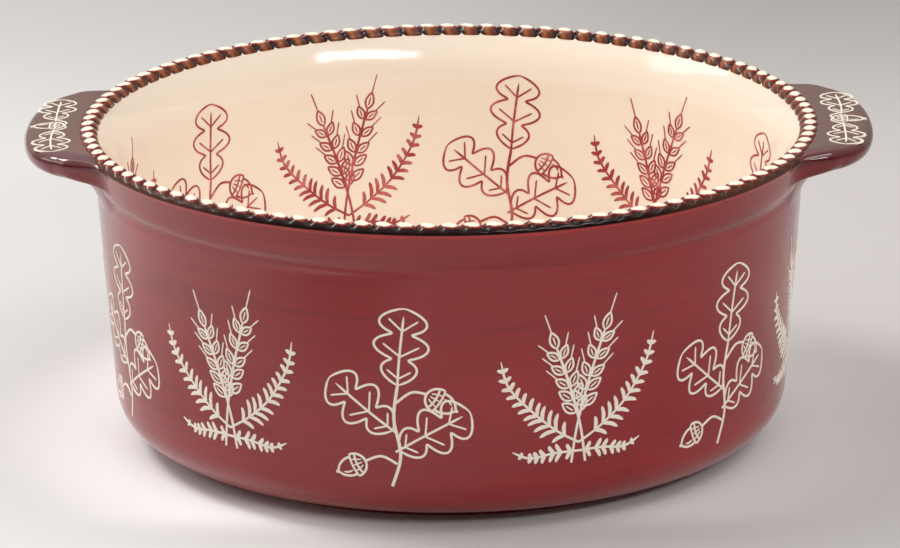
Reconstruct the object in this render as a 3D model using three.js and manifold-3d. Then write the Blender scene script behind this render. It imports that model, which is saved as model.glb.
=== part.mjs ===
// Handled baking dish: a round stoneware baker with a twisted-rope rim and two lug handles.
// Millimetres, +Z up. The origin is at the centre of the foot, on the table, and +X runs
// through the right handle.
import * as THREE from 'three';
import { mergeVertices } from 'three/addons/utils/BufferGeometryUtils.js';
import Module from 'manifold-3d';

// Whole dish
const overallHeight = 110.6;        // table to the crest of the rope
const seam = 0.3;                   // luted joint between two pieces of clay

// Bowl
const bodyRadius = 120.8;           // outside of the wall where the collar begins
const wallDraft = 4.1;              // lean of the wall from upright, in degrees
const wallThickness = 6;
const floorThickness = 6.5;
const baseCornerRadius = 14;        // outside corner between the wall and the base
const floorCornerRadius = 13;       // inside corner between the wall and the floor

// Collar under the rope
const collarHeight = 17.9;          // cove to lip
const collarFlare = 5.5;            // how far the lip stands out from the wall
const coveRise = 6;                 // height of the hollow at the collar's foot

// Rope rim
const ropeBeadCount = 108;
const ropeRadius = 3.5;             // from the rope's middle to the crown of a bead
const ropeSeatRise = 1.1;           // from the rope's middle up to its flat seat
const ropeOverhang = 0.5;           // how far the rope's round reaches out past the lip
const ropeGrooveDepth = 1.1;        // crown of a bead to the groove beside it
const ropeLay = 17.5;               // slant of a bead across the crest, in degrees

// Foot ring
const footRingHeight = 4.2;
const footRingWidth = 9;
const footRingInset = 4.6;          // in from where the base turns up into the corner
const footRingCove = 2;             // hollow between the foot's face and the base
const footRingEdge = 0.8;           // eased lower edges

// Handles
const handleReach = 18.2;           // how far the tip stands out past the rope
const handleThickness = 7.8;        // at the tip
const handleRootGain = 2.4;         // how much thicker it is where it leaves the collar
const handleTopDrop = 0.6;          // crest of the rope down to the handle's top
const handleFall = 1.1;             // drop of the top from the rope to the tip
const handleShoulderWidth = 78.4;   // across the shoulders
const handleShoulderInset = 11.8;   // tip to the line of the shoulders
const handleRootFall = 2;           // drop of the top from the middle to the roots
const handleRootWidth = 108;        // along the rim, where the edges run into the rope
const handleRootBlend = 0.36;       // share of the reach over which it leaves the collar's face
const handleRootDrop = 5;           // cove down to where the handle's underside meets the wall
const handleRootSpread = 0.6;       // share of the reach by which the top is at its full height
const handleCrownRise = 3.2;        // rounding above the edge, upright
const handleCrownDepth = 3.6;       // rounding above the edge, inwards
const handleHeelDepth = 6.5;        // rounding below the edge, inwards

// Pulls of the handle's edge, as shares of the stretch of the edge that they bend
const rootPull = { reach: 0.3, width: 0.42 };
const shoulderPull = { reach: 0.3, width: 0.39 };
const frontPull = 0.72;
const tipPull = 0.48;
const underPull = 0.4;              // share of the underside that is steep beside the wall

// Fineness of the curves
const turnSteps = 72;
const arcSteps = 6;
const footCoveSteps = 3;
const ropeStepsPerBead = 4;
const ropeSectionSteps = 8;
const handleHalfSteps = 12;
const handleHeelSteps = 4;
const handleCrownSteps = 3;
const handleHollowSteps = 5;

// Sizes that follow from the ones above
const degree = Math.PI / 180;
const draftSlope = Math.tan(wallDraft * degree);
const draftCosine = Math.cos(wallDraft * degree);
const baseZ = footRingHeight + seam;
const floorZ = baseZ + floorThickness;
const ropeMiddleZ = overallHeight - ropeRadius;
const ropeSeatZ = ropeMiddleZ + ropeSeatRise;
const lipZ = ropeSeatZ - seam;
const coveZ = lipZ - collarHeight;
const lipRadius = bodyRadius + collarFlare;
const ropeOuterRadius = lipRadius + ropeOverhang;
const ropeRingRadius = ropeOuterRadius - ropeRadius;

// Radius of the wall's outer face at a height, below the collar
function wallRadiusAt(z) {
  return bodyRadius - (coveZ - z) * draftSlope;
}

// Quarter turn that joins a flat floor at bottomZ to a leaning wall, as profile points
function cornerArc(bottomZ, radius, wallInset) {
  const middleZ = bottomZ + radius;
  const middleRadius = wallRadiusAt(middleZ) - (wallInset + radius) / draftCosine;
  const points = [];
  for (let step = 0; step <= arcSteps; step += 1) {
    const angle = -Math.PI / 2 + (step / arcSteps) * (Math.PI / 2 - wallDraft * degree);
    const across = middleRadius + radius * Math.cos(angle);
    points.push(new THREE.Vector2(across, middleZ + radius * Math.sin(angle)));
  }
  return points;
}

// Concave sweep of the collar, from the wall at the cove out to the lip
function collarSweep(inset, lipInset) {
  const start = new THREE.Vector2(bodyRadius - inset, coveZ);
  const middle = new THREE.Vector2(start.x + coveRise * draftSlope, coveZ + coveRise);
  const end = new THREE.Vector2(lipRadius - lipInset, lipZ);
  return new THREE.QuadraticBezierCurve(start, middle, end).getPoints(arcSteps);
}

// Outer radius of the bowl at a height on the wall, the collar or the lip
function faceRadiusAt(z) {
  const sweep = collarSweep(0, 0);
  if (z <= coveZ) {
    return wallRadiusAt(z);
  }
  const above = sweep.findIndex((point) => point.y >= z);
  if (above < 0) {
    return lipRadius;
  }
  const low = sweep[above - 1];
  const high = sweep[above];
  return THREE.MathUtils.mapLinear(z, low.y, high.y, low.x, high.x);
}

// A profile of (radius, height) points turned about the upright axis
function turned(profile, steps = turnSteps) {
  const geometry = new THREE.LatheGeometry(profile, steps);
  geometry.rotateX(Math.PI / 2);
  return geometry;
}

// Closed rings of equal length, stitched in order; the ends are capped unless they meet
function stitched(rings, meetsItself, capTriangles = []) {
  const count = rings[0].length;
  const positions = rings.flat().flatMap((point) => [point.x, point.y, point.z]);
  const index = [];
  const spans = meetsItself ? rings.length : rings.length - 1;
  for (let ring = 0; ring < spans; ring += 1) {
    const here = ring * count;
    const next = ((ring + 1) % rings.length) * count;
    for (let side = 0; side < count; side += 1) {
      const after = (side + 1) % count;
      index.push(here + side, next + side, next + after);
      index.push(here + side, next + after, here + after);
    }
  }
  const last = (rings.length - 1) * count;
  for (const [a, b, c] of capTriangles) {
    index.push(a, b, c);
    index.push(last + a, last + c, last + b);
  }
  const geometry = new THREE.BufferGeometry();
  geometry.setAttribute('position', new THREE.Float32BufferAttribute(positions, 3));
  geometry.setIndex(index);
  return geometry;
}

// Bowl: base, corner, leaning wall and collar outside, with a wall of even thickness
function bowlGeometry() {
  const outside = [...cornerArc(baseZ, baseCornerRadius, 0), ...collarSweep(0, 0)];
  const inside = [...cornerArc(floorZ, floorCornerRadius, wallThickness),
    ...collarSweep(wallThickness, wallThickness)];
  const baseCentre = new THREE.Vector2(0, baseZ);
  const floorCentre = new THREE.Vector2(0, floorZ);
  return turned([baseCentre, ...outside, ...inside.reverse(), floorCentre]);
}

// Foot ring: eased at the table, with a small hollow where it meets the base
function footRingGeometry() {
  const cornerStart = cornerArc(baseZ, baseCornerRadius, 0)[0].x;
  const topOuter = cornerStart - footRingInset;
  const faceOuter = topOuter - footRingCove;
  const inner = faceOuter - footRingWidth;
  const hollow = new THREE.QuadraticBezierCurve(
    new THREE.Vector2(faceOuter, footRingHeight / 2),
    new THREE.Vector2(faceOuter, footRingHeight),
    new THREE.Vector2(topOuter, footRingHeight),
  ).getPoints(footCoveSteps);
  return turned([
    new THREE.Vector2(inner + footRingEdge, 0),
    new THREE.Vector2(faceOuter - footRingEdge, 0),
    new THREE.Vector2(faceOuter, footRingEdge),
    ...hollow,
    new THREE.Vector2(inner, footRingHeight),
    new THREE.Vector2(inner, footRingEdge),
    new THREE.Vector2(inner + footRingEdge, 0),
  ]);
}

// Rope rim: the upper half of a coil of slanted beads. Each ring of points keeps one place
// in the bead, crown or groove, and leans along the lay. The grooves run out at the seat.
function ropeRimGeometry() {
  const seatAngle = Math.asin(ropeSeatRise / ropeRadius);
  const shift = (ropeRadius * Math.tan(ropeLay * degree)) / ropeRingRadius;
  const rings = [];
  const ringCount = ropeBeadCount * ropeStepsPerBead;
  for (let ring = 0; ring < ringCount; ring += 1) {
    const place = (ring / ropeStepsPerBead) * Math.PI;
    const groove = ropeGrooveDepth * (1 - Math.abs(Math.cos(place)));
    const turn = (ring / ringCount) * 2 * Math.PI;
    const points = [];
    for (let step = 0; step <= ropeSectionSteps; step += 1) {
      const part = step / ropeSectionSteps;
      const angle = seatAngle + part * (Math.PI - 2 * seatAngle);
      const radius = ropeRadius - groove * Math.sin(part * Math.PI);
      const across = ropeRingRadius + radius * Math.cos(angle);
      const height = ropeMiddleZ + radius * Math.sin(angle);
      const around = turn - shift * (angle - Math.PI / 2);
      points.push(new THREE.Vector3(across * Math.cos(around), across * Math.sin(around), height));
    }
    rings.push(points);
  }
  return stitched(rings, true);
}

// Plan of one handle's edge for +X, from one root on the rope round the tip to the other
function handleEdge() {
  const tipX = ropeOuterRadius + handleReach;
  const rootY = handleRootWidth / 2;
  const rootX = Math.sqrt(ropeOuterRadius ** 2 - rootY ** 2);
  const shoulderX = tipX - handleShoulderInset;
  const shoulderY = handleShoulderWidth / 2;
  const sweepX = shoulderX - rootX;
  const sweepY = rootY - shoulderY;
  const sweep = new THREE.CubicBezierCurve(
    new THREE.Vector2(rootX, rootY),
    new THREE.Vector2(rootX + rootPull.reach * sweepX, rootY - rootPull.width * sweepY),
    new THREE.Vector2(
      shoulderX - shoulderPull.reach * sweepX,
      shoulderY + shoulderPull.width * sweepY,
    ),
    new THREE.Vector2(shoulderX, shoulderY),
  );
  const front = new THREE.CubicBezierCurve(
    new THREE.Vector2(shoulderX, shoulderY),
    new THREE.Vector2(
      shoulderX + frontPull * handleShoulderInset,
      shoulderY - shoulderPull.width * sweepY,
    ),
    new THREE.Vector2(tipX, tipPull * shoulderY),
    new THREE.Vector2(tipX, 0),
  );
  const sweepSteps = Math.round(handleHalfSteps / 2);
  const half = [...sweep.getPoints(sweepSteps),
    ...front.getPoints(handleHalfSteps - sweepSteps).slice(1)];
  const mirrored = half.slice(0, -1).map((point) => new THREE.Vector2(point.x, -point.y));
  return [...mirrored, ...half.reverse()];
}

// Quarter of an ellipse about a middle point, as profile points
function quarterRound(middle, across, upright, startAngle, steps) {
  const points = [];
  for (let step = 0; step <= steps; step += 1) {
    const angle = startAngle + (step / steps) * (Math.PI / 2);
    points.push(new THREE.Vector2(
      middle.x + across * Math.cos(angle),
      middle.y + upright * Math.sin(angle),
    ));
  }
  return points;
}

// One upright section of the handle, from inside the wall below, out along the underside,
// round the heel and the crown of the edge, and back along the top. The top is highest
// halfway out, and falls towards the tip and towards the roots, where the whole section
// passes over into the collar's face.
function handleSection(edge) {
  const reach = edge.length();
  const outward = edge.clone().divideScalar(reach);
  const standOut = (reach - ropeOuterRadius) / handleReach;
  const swell = THREE.MathUtils.smoothstep(standOut, 0, handleRootSpread);
  const topZ = overallHeight - handleTopDrop - handleRootFall * (1 - swell);
  const edgeTopZ = topZ - handleFall * standOut ** 2;
  const edgeZ = edgeTopZ - handleCrownRise;
  const underZ = edgeTopZ - handleThickness - handleRootGain * (1 - standOut) ** 2;
  const wallX = bodyRadius - wallThickness / 2;
  const heel = new THREE.Vector2(reach - handleHeelDepth, edgeZ);
  const crown = new THREE.Vector2(reach - handleCrownDepth, edgeZ);
  const hollow = new THREE.QuadraticBezierCurve(
    new THREE.Vector2(wallX, coveZ - handleRootDrop),
    new THREE.Vector2(wallX + underPull * (heel.x - wallX), underZ),
    new THREE.Vector2(heel.x, underZ),
  );
  const outside = [
    ...hollow.getPoints(handleHollowSteps).slice(1, -1),
    ...quarterRound(heel, handleHeelDepth, edgeZ - underZ, -Math.PI / 2, handleHeelSteps),
    ...quarterRound(crown, handleCrownDepth, handleCrownRise, 0, handleCrownSteps).slice(1),
  ];
  const keep = THREE.MathUtils.smoothstep(standOut, 0, handleRootBlend);
  for (const point of outside) {
    point.x = THREE.MathUtils.lerp(faceRadiusAt(point.y), point.x, keep);
  }
  const section = [hollow.v0, ...outside, new THREE.Vector2(wallX, topZ)];
  const ring = section.map((point) => (
    new THREE.Vector3(outward.x * point.x, outward.y * point.x, point.y)));
  return { section, ring };
}

const wasm = await Module();
wasm.setup();

// A closed geometry as a solid that can be cut
function asSolid(geometry) {
  const bare = geometry.clone();
  bare.deleteAttribute('normal');
  bare.deleteAttribute('uv');
  const merged = mergeVertices(bare, 1e-4);
  const triangles = [];
  const corners = merged.index.array;
  for (let start = 0; start < corners.length; start += 3) {
    const [a, b, c] = corners.slice(start, start + 3);
    if (a !== b && b !== c && c !== a) {
      triangles.push(a, b, c);
    }
  }
  return new wasm.Manifold(new wasm.Mesh({
    numProp: 3,
    vertProperties: new Float32Array(merged.attributes.position.array),
    triVerts: new Uint32Array(triangles),
  }));
}

// A cut solid as a geometry again
function asGeometry(solid) {
  const mesh = solid.getMesh();
  const geometry = new THREE.BufferGeometry();
  geometry.setAttribute('position', new THREE.Float32BufferAttribute(mesh.vertProperties, 3));
  geometry.setIndex([...mesh.triVerts]);
  return geometry;
}

// The space that the bowl and the rope take, with the luted joint round it
function rimSpace() {
  const under = coveZ - handleThickness - handleRootDrop;
  const sweep = collarSweep(-seam / draftCosine, -seam);
  return turned([
    new THREE.Vector2(0, under),
    new THREE.Vector2(wallRadiusAt(under) + seam / draftCosine, under),
    ...sweep,
    new THREE.Vector2(ropeOuterRadius + seam, lipZ),
    new THREE.Vector2(ropeOuterRadius + seam, overallHeight + ropeRadius),
    new THREE.Vector2(0, overallHeight + ropeRadius),
  ]);
}

// Lug handle: a tab with a rounded edge whose underside runs down into the collar
function handleGeometry() {
  const sections = handleEdge().map(handleSection);
  const cap = THREE.ShapeUtils.triangulateShape(sections[0].section, []);
  const block = stitched(sections.map((part) => part.ring), false, cap);
  return asGeometry(asSolid(block).subtract(asSolid(rimSpace())));
}

const redGlaze = { color: 0x783434, roughness: 0.22, metalness: 0 };
const brownGlaze = { color: 0x3c1e19, roughness: 0.25, metalness: 0 };

const dish = new THREE.Group();

function addPiece(name, geometry, finish, turn = 0) {
  const mesh = new THREE.Mesh(geometry, new THREE.MeshStandardMaterial(finish));
  mesh.name = name;
  mesh.rotation.z = turn;
  dish.add(mesh);
}

addPiece('bowl', bowlGeometry(), redGlaze);
addPiece('rope_rim', ropeRimGeometry(), brownGlaze);
addPiece('foot_ring', footRingGeometry(), redGlaze);
addPiece('handle_right', handleGeometry(), redGlaze);
addPiece('handle_left', handleGeometry(), redGlaze, Math.PI);

export default dish;
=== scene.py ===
"""Handled baking dish: its glazes, rope rim, drawn ornament and studio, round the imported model.

Laid out as an add-on. Property groups hold the sizes and colours, every piece has an
operator of its own, and a panel in the 3D view's sidebar lists the operators.
"""
import math

import bmesh
import bpy
from bpy.props import FloatProperty, FloatVectorProperty, IntProperty, PointerProperty
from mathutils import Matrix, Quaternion, Vector


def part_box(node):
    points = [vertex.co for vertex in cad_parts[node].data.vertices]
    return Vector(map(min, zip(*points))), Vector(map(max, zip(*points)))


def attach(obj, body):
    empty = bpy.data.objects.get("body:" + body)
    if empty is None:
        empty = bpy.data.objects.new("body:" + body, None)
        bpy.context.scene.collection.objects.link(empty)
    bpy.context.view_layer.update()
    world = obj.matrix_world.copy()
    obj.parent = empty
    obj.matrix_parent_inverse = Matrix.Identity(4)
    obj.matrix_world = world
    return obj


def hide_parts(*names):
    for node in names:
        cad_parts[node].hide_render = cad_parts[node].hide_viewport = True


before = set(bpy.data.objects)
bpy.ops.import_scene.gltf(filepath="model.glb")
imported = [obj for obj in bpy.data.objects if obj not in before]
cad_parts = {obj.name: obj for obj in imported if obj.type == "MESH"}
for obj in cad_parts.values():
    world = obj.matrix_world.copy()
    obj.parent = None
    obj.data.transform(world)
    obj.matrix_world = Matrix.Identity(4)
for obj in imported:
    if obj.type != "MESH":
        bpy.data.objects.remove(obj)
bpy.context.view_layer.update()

bl_info = {
    "name": "Handled baking dish",
    "version": (1, 0, 0),
    "blender": (4, 5, 0),
    "location": "3D View > Sidebar > Baking dish",
    "description": "A round stoneware baking dish with a rope rim, two handles and drawn ornament",
    "category": "Add Mesh",
}

MM = 0.001
BODY = "root"
BOWL_LOW, BOWL_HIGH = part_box("bowl")
ROPE_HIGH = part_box("rope_rim")[1]
FOOT_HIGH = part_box("foot_ring")[1]
HANDLE_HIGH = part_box("handle_right")[1]

# Fineness of the meshes: steps round the dish, along the profiles and along a handle's parts
TURN_STEPS = 320
CORNER_STEPS = 20
WALL_STEPS = 24
COLLAR_STEPS = 40
BEAD_STEPS = 18
SECTION_STEPS = 30
EDGE_STEPS = 60
UNDERSIDE_STEPS = 22
HEEL_STEPS = 14
CROWN_STEPS = 10
SHELF_STEPS = 12
COVE_STEPS = 12
ROUND_STEPS = 6
BASE_STEPS = 10

# Places round the rope's section, from its outer foot over the crest, in radians
ROPE_START = math.radians(3.0)
ROPE_REACH = math.radians(174.0)
GROOVE_FADE = (math.radians(16.0), math.radians(58.0))
OUTER_GLAZE = (math.radians(22.0), math.radians(60.0))
INNER_RUST = (math.radians(100.0), math.radians(118.0))

# Half the width of the rusty streak, as a share of a bead
RUST_HALF = 0.2

# Weights of the drawn lines, where 1 is the plain line
STEM = 1.25
WHEAT_STEM = 1.05
STALK = 1.0
OUTLINE = 0.95
SPRAY_STALK = 0.9
RIM = 0.85
VEIN = 0.75
GLEAM = 0.7
FINE = 0.6
AWN = 0.55


def length(name, description, default):
    """A size in metres that a user may change."""
    return FloatProperty(
        name=name, description=description, default=default, min=0.0, precision=5,
        unit="LENGTH", subtype="DISTANCE",
    )


def angle(name, description, degrees):
    """An angle that a user may change."""
    return FloatProperty(
        name=name, description=description, default=math.radians(degrees),
        unit="ROTATION", subtype="ANGLE",
    )


def share(name, description, default, highest=10.0):
    """A plain number that a user may change."""
    return FloatProperty(name=name, description=description, default=default, max=highest)


def colour(name, description, default):
    """A colour that a user may change, in linear light."""
    return FloatVectorProperty(
        name=name, description=description, default=default, size=3, min=0.0, max=1.0,
        subtype="COLOR",
    )


class BowlSizes(bpy.types.PropertyGroup):
    """Sizes of the bowl: base, wall and collar."""

    lip_radius: length("Lip radius", "Outside of the collar under the rope", BOWL_HIGH.x)
    lip_height: length("Lip height", "Height of the lip that carries the rope", BOWL_HIGH.z)
    base_height: length("Base height", "Underside of the base", BOWL_LOW.z)
    wall: length("Wall", "Thickness of the wall", 0.006)
    floor: length("Floor", "Thickness of the floor", 0.0065)
    draft: angle("Draft", "Lean of the wall from upright", 4.1)
    base_corner: length("Base corner", "Outside radius from the base to the wall", 0.014)
    floor_corner: length("Floor corner", "Inside radius from the floor to the wall", 0.013)
    collar_flare: length("Collar flare", "How far the lip stands out from the wall", 0.0055)
    collar_height: length("Collar height", "Height from the cove to the lip", 0.0179)
    cove_rise: length("Cove rise", "Height of the hollow at the collar's foot", 0.006)
    inner_cove_rise: length("Inner cove rise", "The same hollow on the inside", 0.0085)
    step: length("Step", "How far the collar's foot steps out, each way", 0.0009)
    step_rise: length("Step rise", "Cove up to the middle of the step", 0.0046)
    step_width: length("Step width", "Half the height of the step", 0.0020)
    lip_rise: length("Lip rise", "How far the lip reaches up inside the rope", 0.0004)


class RopeSizes(bpy.types.PropertyGroup):
    """Sizes of the twisted-rope rim."""

    beads: IntProperty(name="Beads", description="Beads round the rim", default=108, min=12)
    ring_radius: length("Ring radius", "Middle of the dish to the rope's middle", 0.1233)
    crest: length("Crest", "Height of the crowns of the beads", ROPE_HIGH.z)
    radius: length("Radius", "From the rope's middle to the crown of a bead", 0.0035)
    groove: length("Groove", "Depth of the grooves over the crest", 0.0016)
    side_groove: length("Side groove", "Depth of the grooves at the rope's outer foot", 0.00005)
    inner_groove: length("Inner groove", "Depth of the grooves at the rope's inner foot", 0.0004)
    lay: angle("Lay", "Slant of the beads across the crest", 17.5)
    crown: share("Crown", "Higher makes flatter crowns and narrower grooves", 2.6)
    wipe_width: share("Wiped width", "Wiped part of a bead along the rim", 0.35)
    wipe_reach: angle("Wiped reach", "Wiped part of a bead over the crest, each way", 35.0)
    rust_place: share("Rust place", "Middle of the rusty streak beside a bead's crown", 0.12)
    wipe_lean: angle("Wiped lean", "How far the wiped part leans outward", 2.5)


class FootSizes(bpy.types.PropertyGroup):
    """Sizes of the foot ring."""

    outer_radius: length("Outer radius", "Outside of the ring where it meets the base", FOOT_HIGH.x)
    height: length("Height", "Table to the base", FOOT_HIGH.z)
    width: length("Width", "Width of the face on the table", 0.009)
    cove: length("Cove", "Hollow between the foot's face and the base", 0.002)
    edge: length("Edge", "Eased lower edges", 0.0008)


class HandleSizes(bpy.types.PropertyGroup):
    """Sizes of the two lug handles."""

    tip: length("Tip", "Middle of the dish to a handle's tip", HANDLE_HIGH.x)
    top_drop: length("Top drop", "Crest of the rope down to the handle's top", 0.0006)
    thickness: length("Thickness", "Thickness at the tip", 0.0078)
    root_gain: length("Root gain", "How much thicker it is where it leaves the collar", 0.0024)
    fall: length("Fall", "Drop of the top from the rope to the tip", 0.0011)
    shoulder_width: length("Shoulder width", "Across the shoulders", 0.0784)
    shoulder_inset: length("Shoulder inset", "Tip to the line of the shoulders", 0.0118)
    root_width: length("Root width", "Along the rim, where the edges reach the rope", 0.108)
    root_fall: length("Root fall", "Drop of the top beside the rope towards the roots", 0.002)
    root_drop: length("Root drop", "Cove down to where the underside meets the wall", 0.0035)
    root_start: length("Root start", "Cove up to where the underside begins at the roots", 0.0055)
    root_blend: share("Root blend", "Share of the reach over which it leaves the collar", 0.55)
    fillet: length("Fillet", "Softness of the line between the flank and the collar", 0.005)
    crown_rise: length("Crown rise", "Rounding above the edge, upright", 0.0032)
    crown_depth: length("Crown depth", "Rounding above the edge, inwards", 0.0036)
    heel_depth: length("Heel depth", "Rounding below the edge, inwards", 0.0065)
    brown_half: length("Brown half", "Half the width of the brown top at the tip", 0.0265)
    brown_spread: share("Brown spread", "How fast the brown widens towards the rope", 0.45)


class OrnamentSizes(bpy.types.PropertyGroup):
    """Sizes of the drawn ornament."""

    line: length("Line", "Width of a drawn line", 0.00118)
    relief: length("Relief", "How far a line stands up from the glaze", 0.00014)
    sink: length("Sink", "How far a line reaches into the glaze", 0.0003)
    sprigs: IntProperty(name="Sprigs", description="Sprigs round the wall", default=12, min=2)
    wall_foot: length("Foot outside", "Table to the foot of the lower sprigs", 0.0175)
    inner_foot: length("Foot inside", "Table to the foot of the lower inner sprigs", 0.031)
    stagger: length("Stagger", "How much higher every other sprig stands", 0.006)
    wall_turn: angle("Turn outside", "Turn of the first sprig outside", 261.0)
    inner_turn: angle("Turn inside", "Turn of the first sprig inside", 79.0)


class GlazeColours(bpy.types.PropertyGroup):
    """Colours of the glazes, in linear light."""

    red: colour("Red", "Brick-red glaze of the wall", (0.245, 0.0076, 0.0086))
    deep_red: colour("Deep red", "Red glaze where it lies thick", (0.200, 0.0056, 0.0072))
    bright_red: colour("Bright red", "Red glaze where it breaks thin", (0.320, 0.0120, 0.0110))
    lip_red: colour("Lip red", "Red glaze under the rope", (0.420, 0.0150, 0.0110))
    # Painted shade: this dark red paints the dark reflection over the handles' crowns and the shade on
    # their outer flanks.
    painted_shade_red: colour("Pooled red", "Red glaze over the handles' crowns", (0.085, 0.0035, 0.0050))
    brown: colour("Brown", "Brown glaze of the handles' tops and the rope", (0.105, 0.034, 0.019))
    umber: colour("Umber", "Dark glaze in the rope's grooves", (0.012, 0.0026, 0.0018))
    rust: colour("Rust", "Brown glaze where it thins to a fringe", (0.340, 0.100, 0.035))
    cream: colour("Cream", "Cream glaze of the inside", (0.865, 0.752, 0.630))
    warm_cream: colour("Warm cream", "Cream glaze where it pools", (0.825, 0.685, 0.542))
    wiped: colour("Wiped cream", "Cream showing on the wiped beads", (0.820, 0.730, 0.600))
    line_cream: colour("Cream line", "Lines on the red and brown glaze", (0.860, 0.790, 0.690))
    line_red: colour("Red line", "Lines on the cream glaze", (0.330, 0.026, 0.030))
    pale_red: colour("Pale red", "Thin parts of the red lines", (0.520, 0.130, 0.110))
    bare_clay: colour("Bare clay", "Unglazed face of the foot", (0.560, 0.400, 0.270))


class StudioSettings(bpy.types.PropertyGroup):
    """Camera, lamps and floor."""

    lens: share("Lens", "Focal length in millimetres", 245.6, 1000.0)
    distance: length("Distance", "Camera to the middle of the rim", 2.1)
    elevation: angle("Elevation", "Camera above the horizon", 16.0)
    azimuth: angle("Azimuth", "Camera turned round the dish", 0.0)
    roll: angle("Roll", "Camera turned about its own axis", -0.55)
    aim_height: length("Aim", "Height that the camera looks at", 0.0546)
    room: share("Room", "Strength of the room's light overhead", 0.86)
    low_room: share("Low room", "Strength of the room's light at the horizon behind", 0.42)
    front_room: share("Front room", "Strength of the room's light at the horizon in front", 0.12)
    side: share("Side", "Brightness of the lamp at the left", 3.2, 100.0)
    front: share("Front", "Brightness of the lamp at the front right", 15.0, 100.0)
    right: share("Right", "Brightness of the lamp at the right", 3.6, 100.0)
    top: share("Top", "Brightness of the lamp overhead", 1.3, 100.0)
    spot: share("Spot", "Brightness of the small lamp at the left, high up", 17.0, 100.0)
    # Painted light and shade: the floor runs from a painted lit tone at the left to a painted shaded tone
    # at the right.
    floor_painted_lit: colour("Floor, light side", "Floor at the left", (0.62, 0.61, 0.595))
    floor_painted_shade: colour("Floor, dark side", "Floor at the right", (0.49, 0.46, 0.445))


# Profiles, in metres, as (radius, height) points


def bezier(points, steps):
    """A Bezier curve of any degree through its end points, as steps + 1 points."""
    found = []
    for step in range(steps + 1):
        row = [Vector(point) for point in points]
        while len(row) > 1:
            row = [a.lerp(b, step / steps) for a, b in zip(row, row[1:])]
        found.append(row[0])
    return found


def oval(middle, across, upward, start, end, steps):
    """Part of an oval as steps + 1 points. Angles are in radians from the outward direction."""
    found = []
    for step in range(steps + 1):
        turn = start + (end - start) * step / steps
        found.append(Vector((middle[0] + across * math.cos(turn), middle[1] + upward * math.sin(turn))))
    return found


def arc(middle, radius, start, end, steps):
    """Part of a circle as steps + 1 points."""
    return oval(middle, radius, radius, start, end, steps)


def ease(value, low, high):
    """0 below low, 1 above high and a smooth step between."""
    part = min(1.0, max(0.0, (value - low) / (high - low)))
    return part * part * (3.0 - 2.0 * part)


def cove_point(bowl):
    """Where the straight wall ends and the collar begins, outside."""
    return Vector((bowl.lip_radius - bowl.collar_flare, bowl.lip_height - bowl.collar_height))


def wall_radius(bowl, height, inset=0.0):
    """Radius of the straight wall at a height; inset 0 is the outer face."""
    cove = cove_point(bowl)
    return cove.x - (cove.y - height) * math.tan(bowl.draft) - inset / math.cos(bowl.draft)


def corner(bowl, bottom, radius, inset):
    """Quarter turn from a flat floor up into the leaning wall."""
    middle_z = bottom + radius
    middle_r = wall_radius(bowl, middle_z, inset + radius)
    return arc((middle_r, middle_z), radius, -math.pi / 2, -bowl.draft, CORNER_STEPS)


def collar(bowl, inset):
    """Sweep of the collar from the cove out to the lip, with a soft step on the outer face."""
    start = cove_point(bowl) - Vector((inset, 0.0))
    rise = bowl.inner_cove_rise if inset else bowl.cove_rise
    middle = start + Vector((rise * math.tan(bowl.draft), rise))
    sweep = bezier((start, middle, (bowl.lip_radius - inset, bowl.lip_height)), COLLAR_STEPS)
    if inset:
        return sweep
    fade_start = 0.5
    for point in sweep:
        high = point.y - start.y
        gone = ease(high, fade_start * bowl.collar_height, bowl.collar_height)
        shown = ease(high, 0.0, bowl.step_rise) * (1.0 - gone)
        point.x += bowl.step * shown * math.tanh((high - bowl.step_rise) / bowl.step_width)
    return sweep


def straight(start, end, steps):
    """Evenly spaced points between two points, without the ends."""
    return [start.lerp(end, step / steps) for step in range(1, steps)]


def face_profile(bowl, inset, bottom, radius):
    """One face of the bowl from the corner up to the lip."""
    low = corner(bowl, bottom, radius, inset)
    high = collar(bowl, inset)
    return low + straight(low[-1], high[0], WALL_STEPS) + high


def outer_profile(bowl):
    """The bowl's outer face."""
    return face_profile(bowl, 0.0, bowl.base_height, bowl.base_corner)


def inner_profile(bowl):
    """The bowl's inner face."""
    return face_profile(bowl, bowl.wall, bowl.base_height + bowl.floor, bowl.floor_corner)


def lip_rounds(bowl, outer, inner):
    """Rounds of the lip: from the outer face into the rope, and out of it to the inner face."""
    inner_rise = bowl.lip_rise + 0.2 * MM
    outward = Vector((0.1 * MM, 0.3 * MM))
    inward = Vector((0.1 * MM, 0.4 * MM))
    into_rope = bezier(
        (outer, outer + outward, outer + Vector((-0.6 * MM, bowl.lip_rise)),
         outer + Vector((-2.0 * MM, bowl.lip_rise))), ROUND_STEPS)
    out_of_rope = bezier(
        (inner + Vector((2.0 * MM, inner_rise)), inner + Vector((0.5 * MM, inner_rise)),
         inner + inward, inner), ROUND_STEPS)
    return into_rope, out_of_rope


def profile_point(profile, height):
    """Point and slope direction of a rising profile at a height."""
    for low, high in zip(profile, profile[1:]):
        if high.y >= height:
            part = (height - low.y) / max(high.y - low.y, 1e-9)
            return low.lerp(high, part), (high - low).normalized()
    return profile[-1], (profile[-1] - profile[-2]).normalized()


# Meshes


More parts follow.
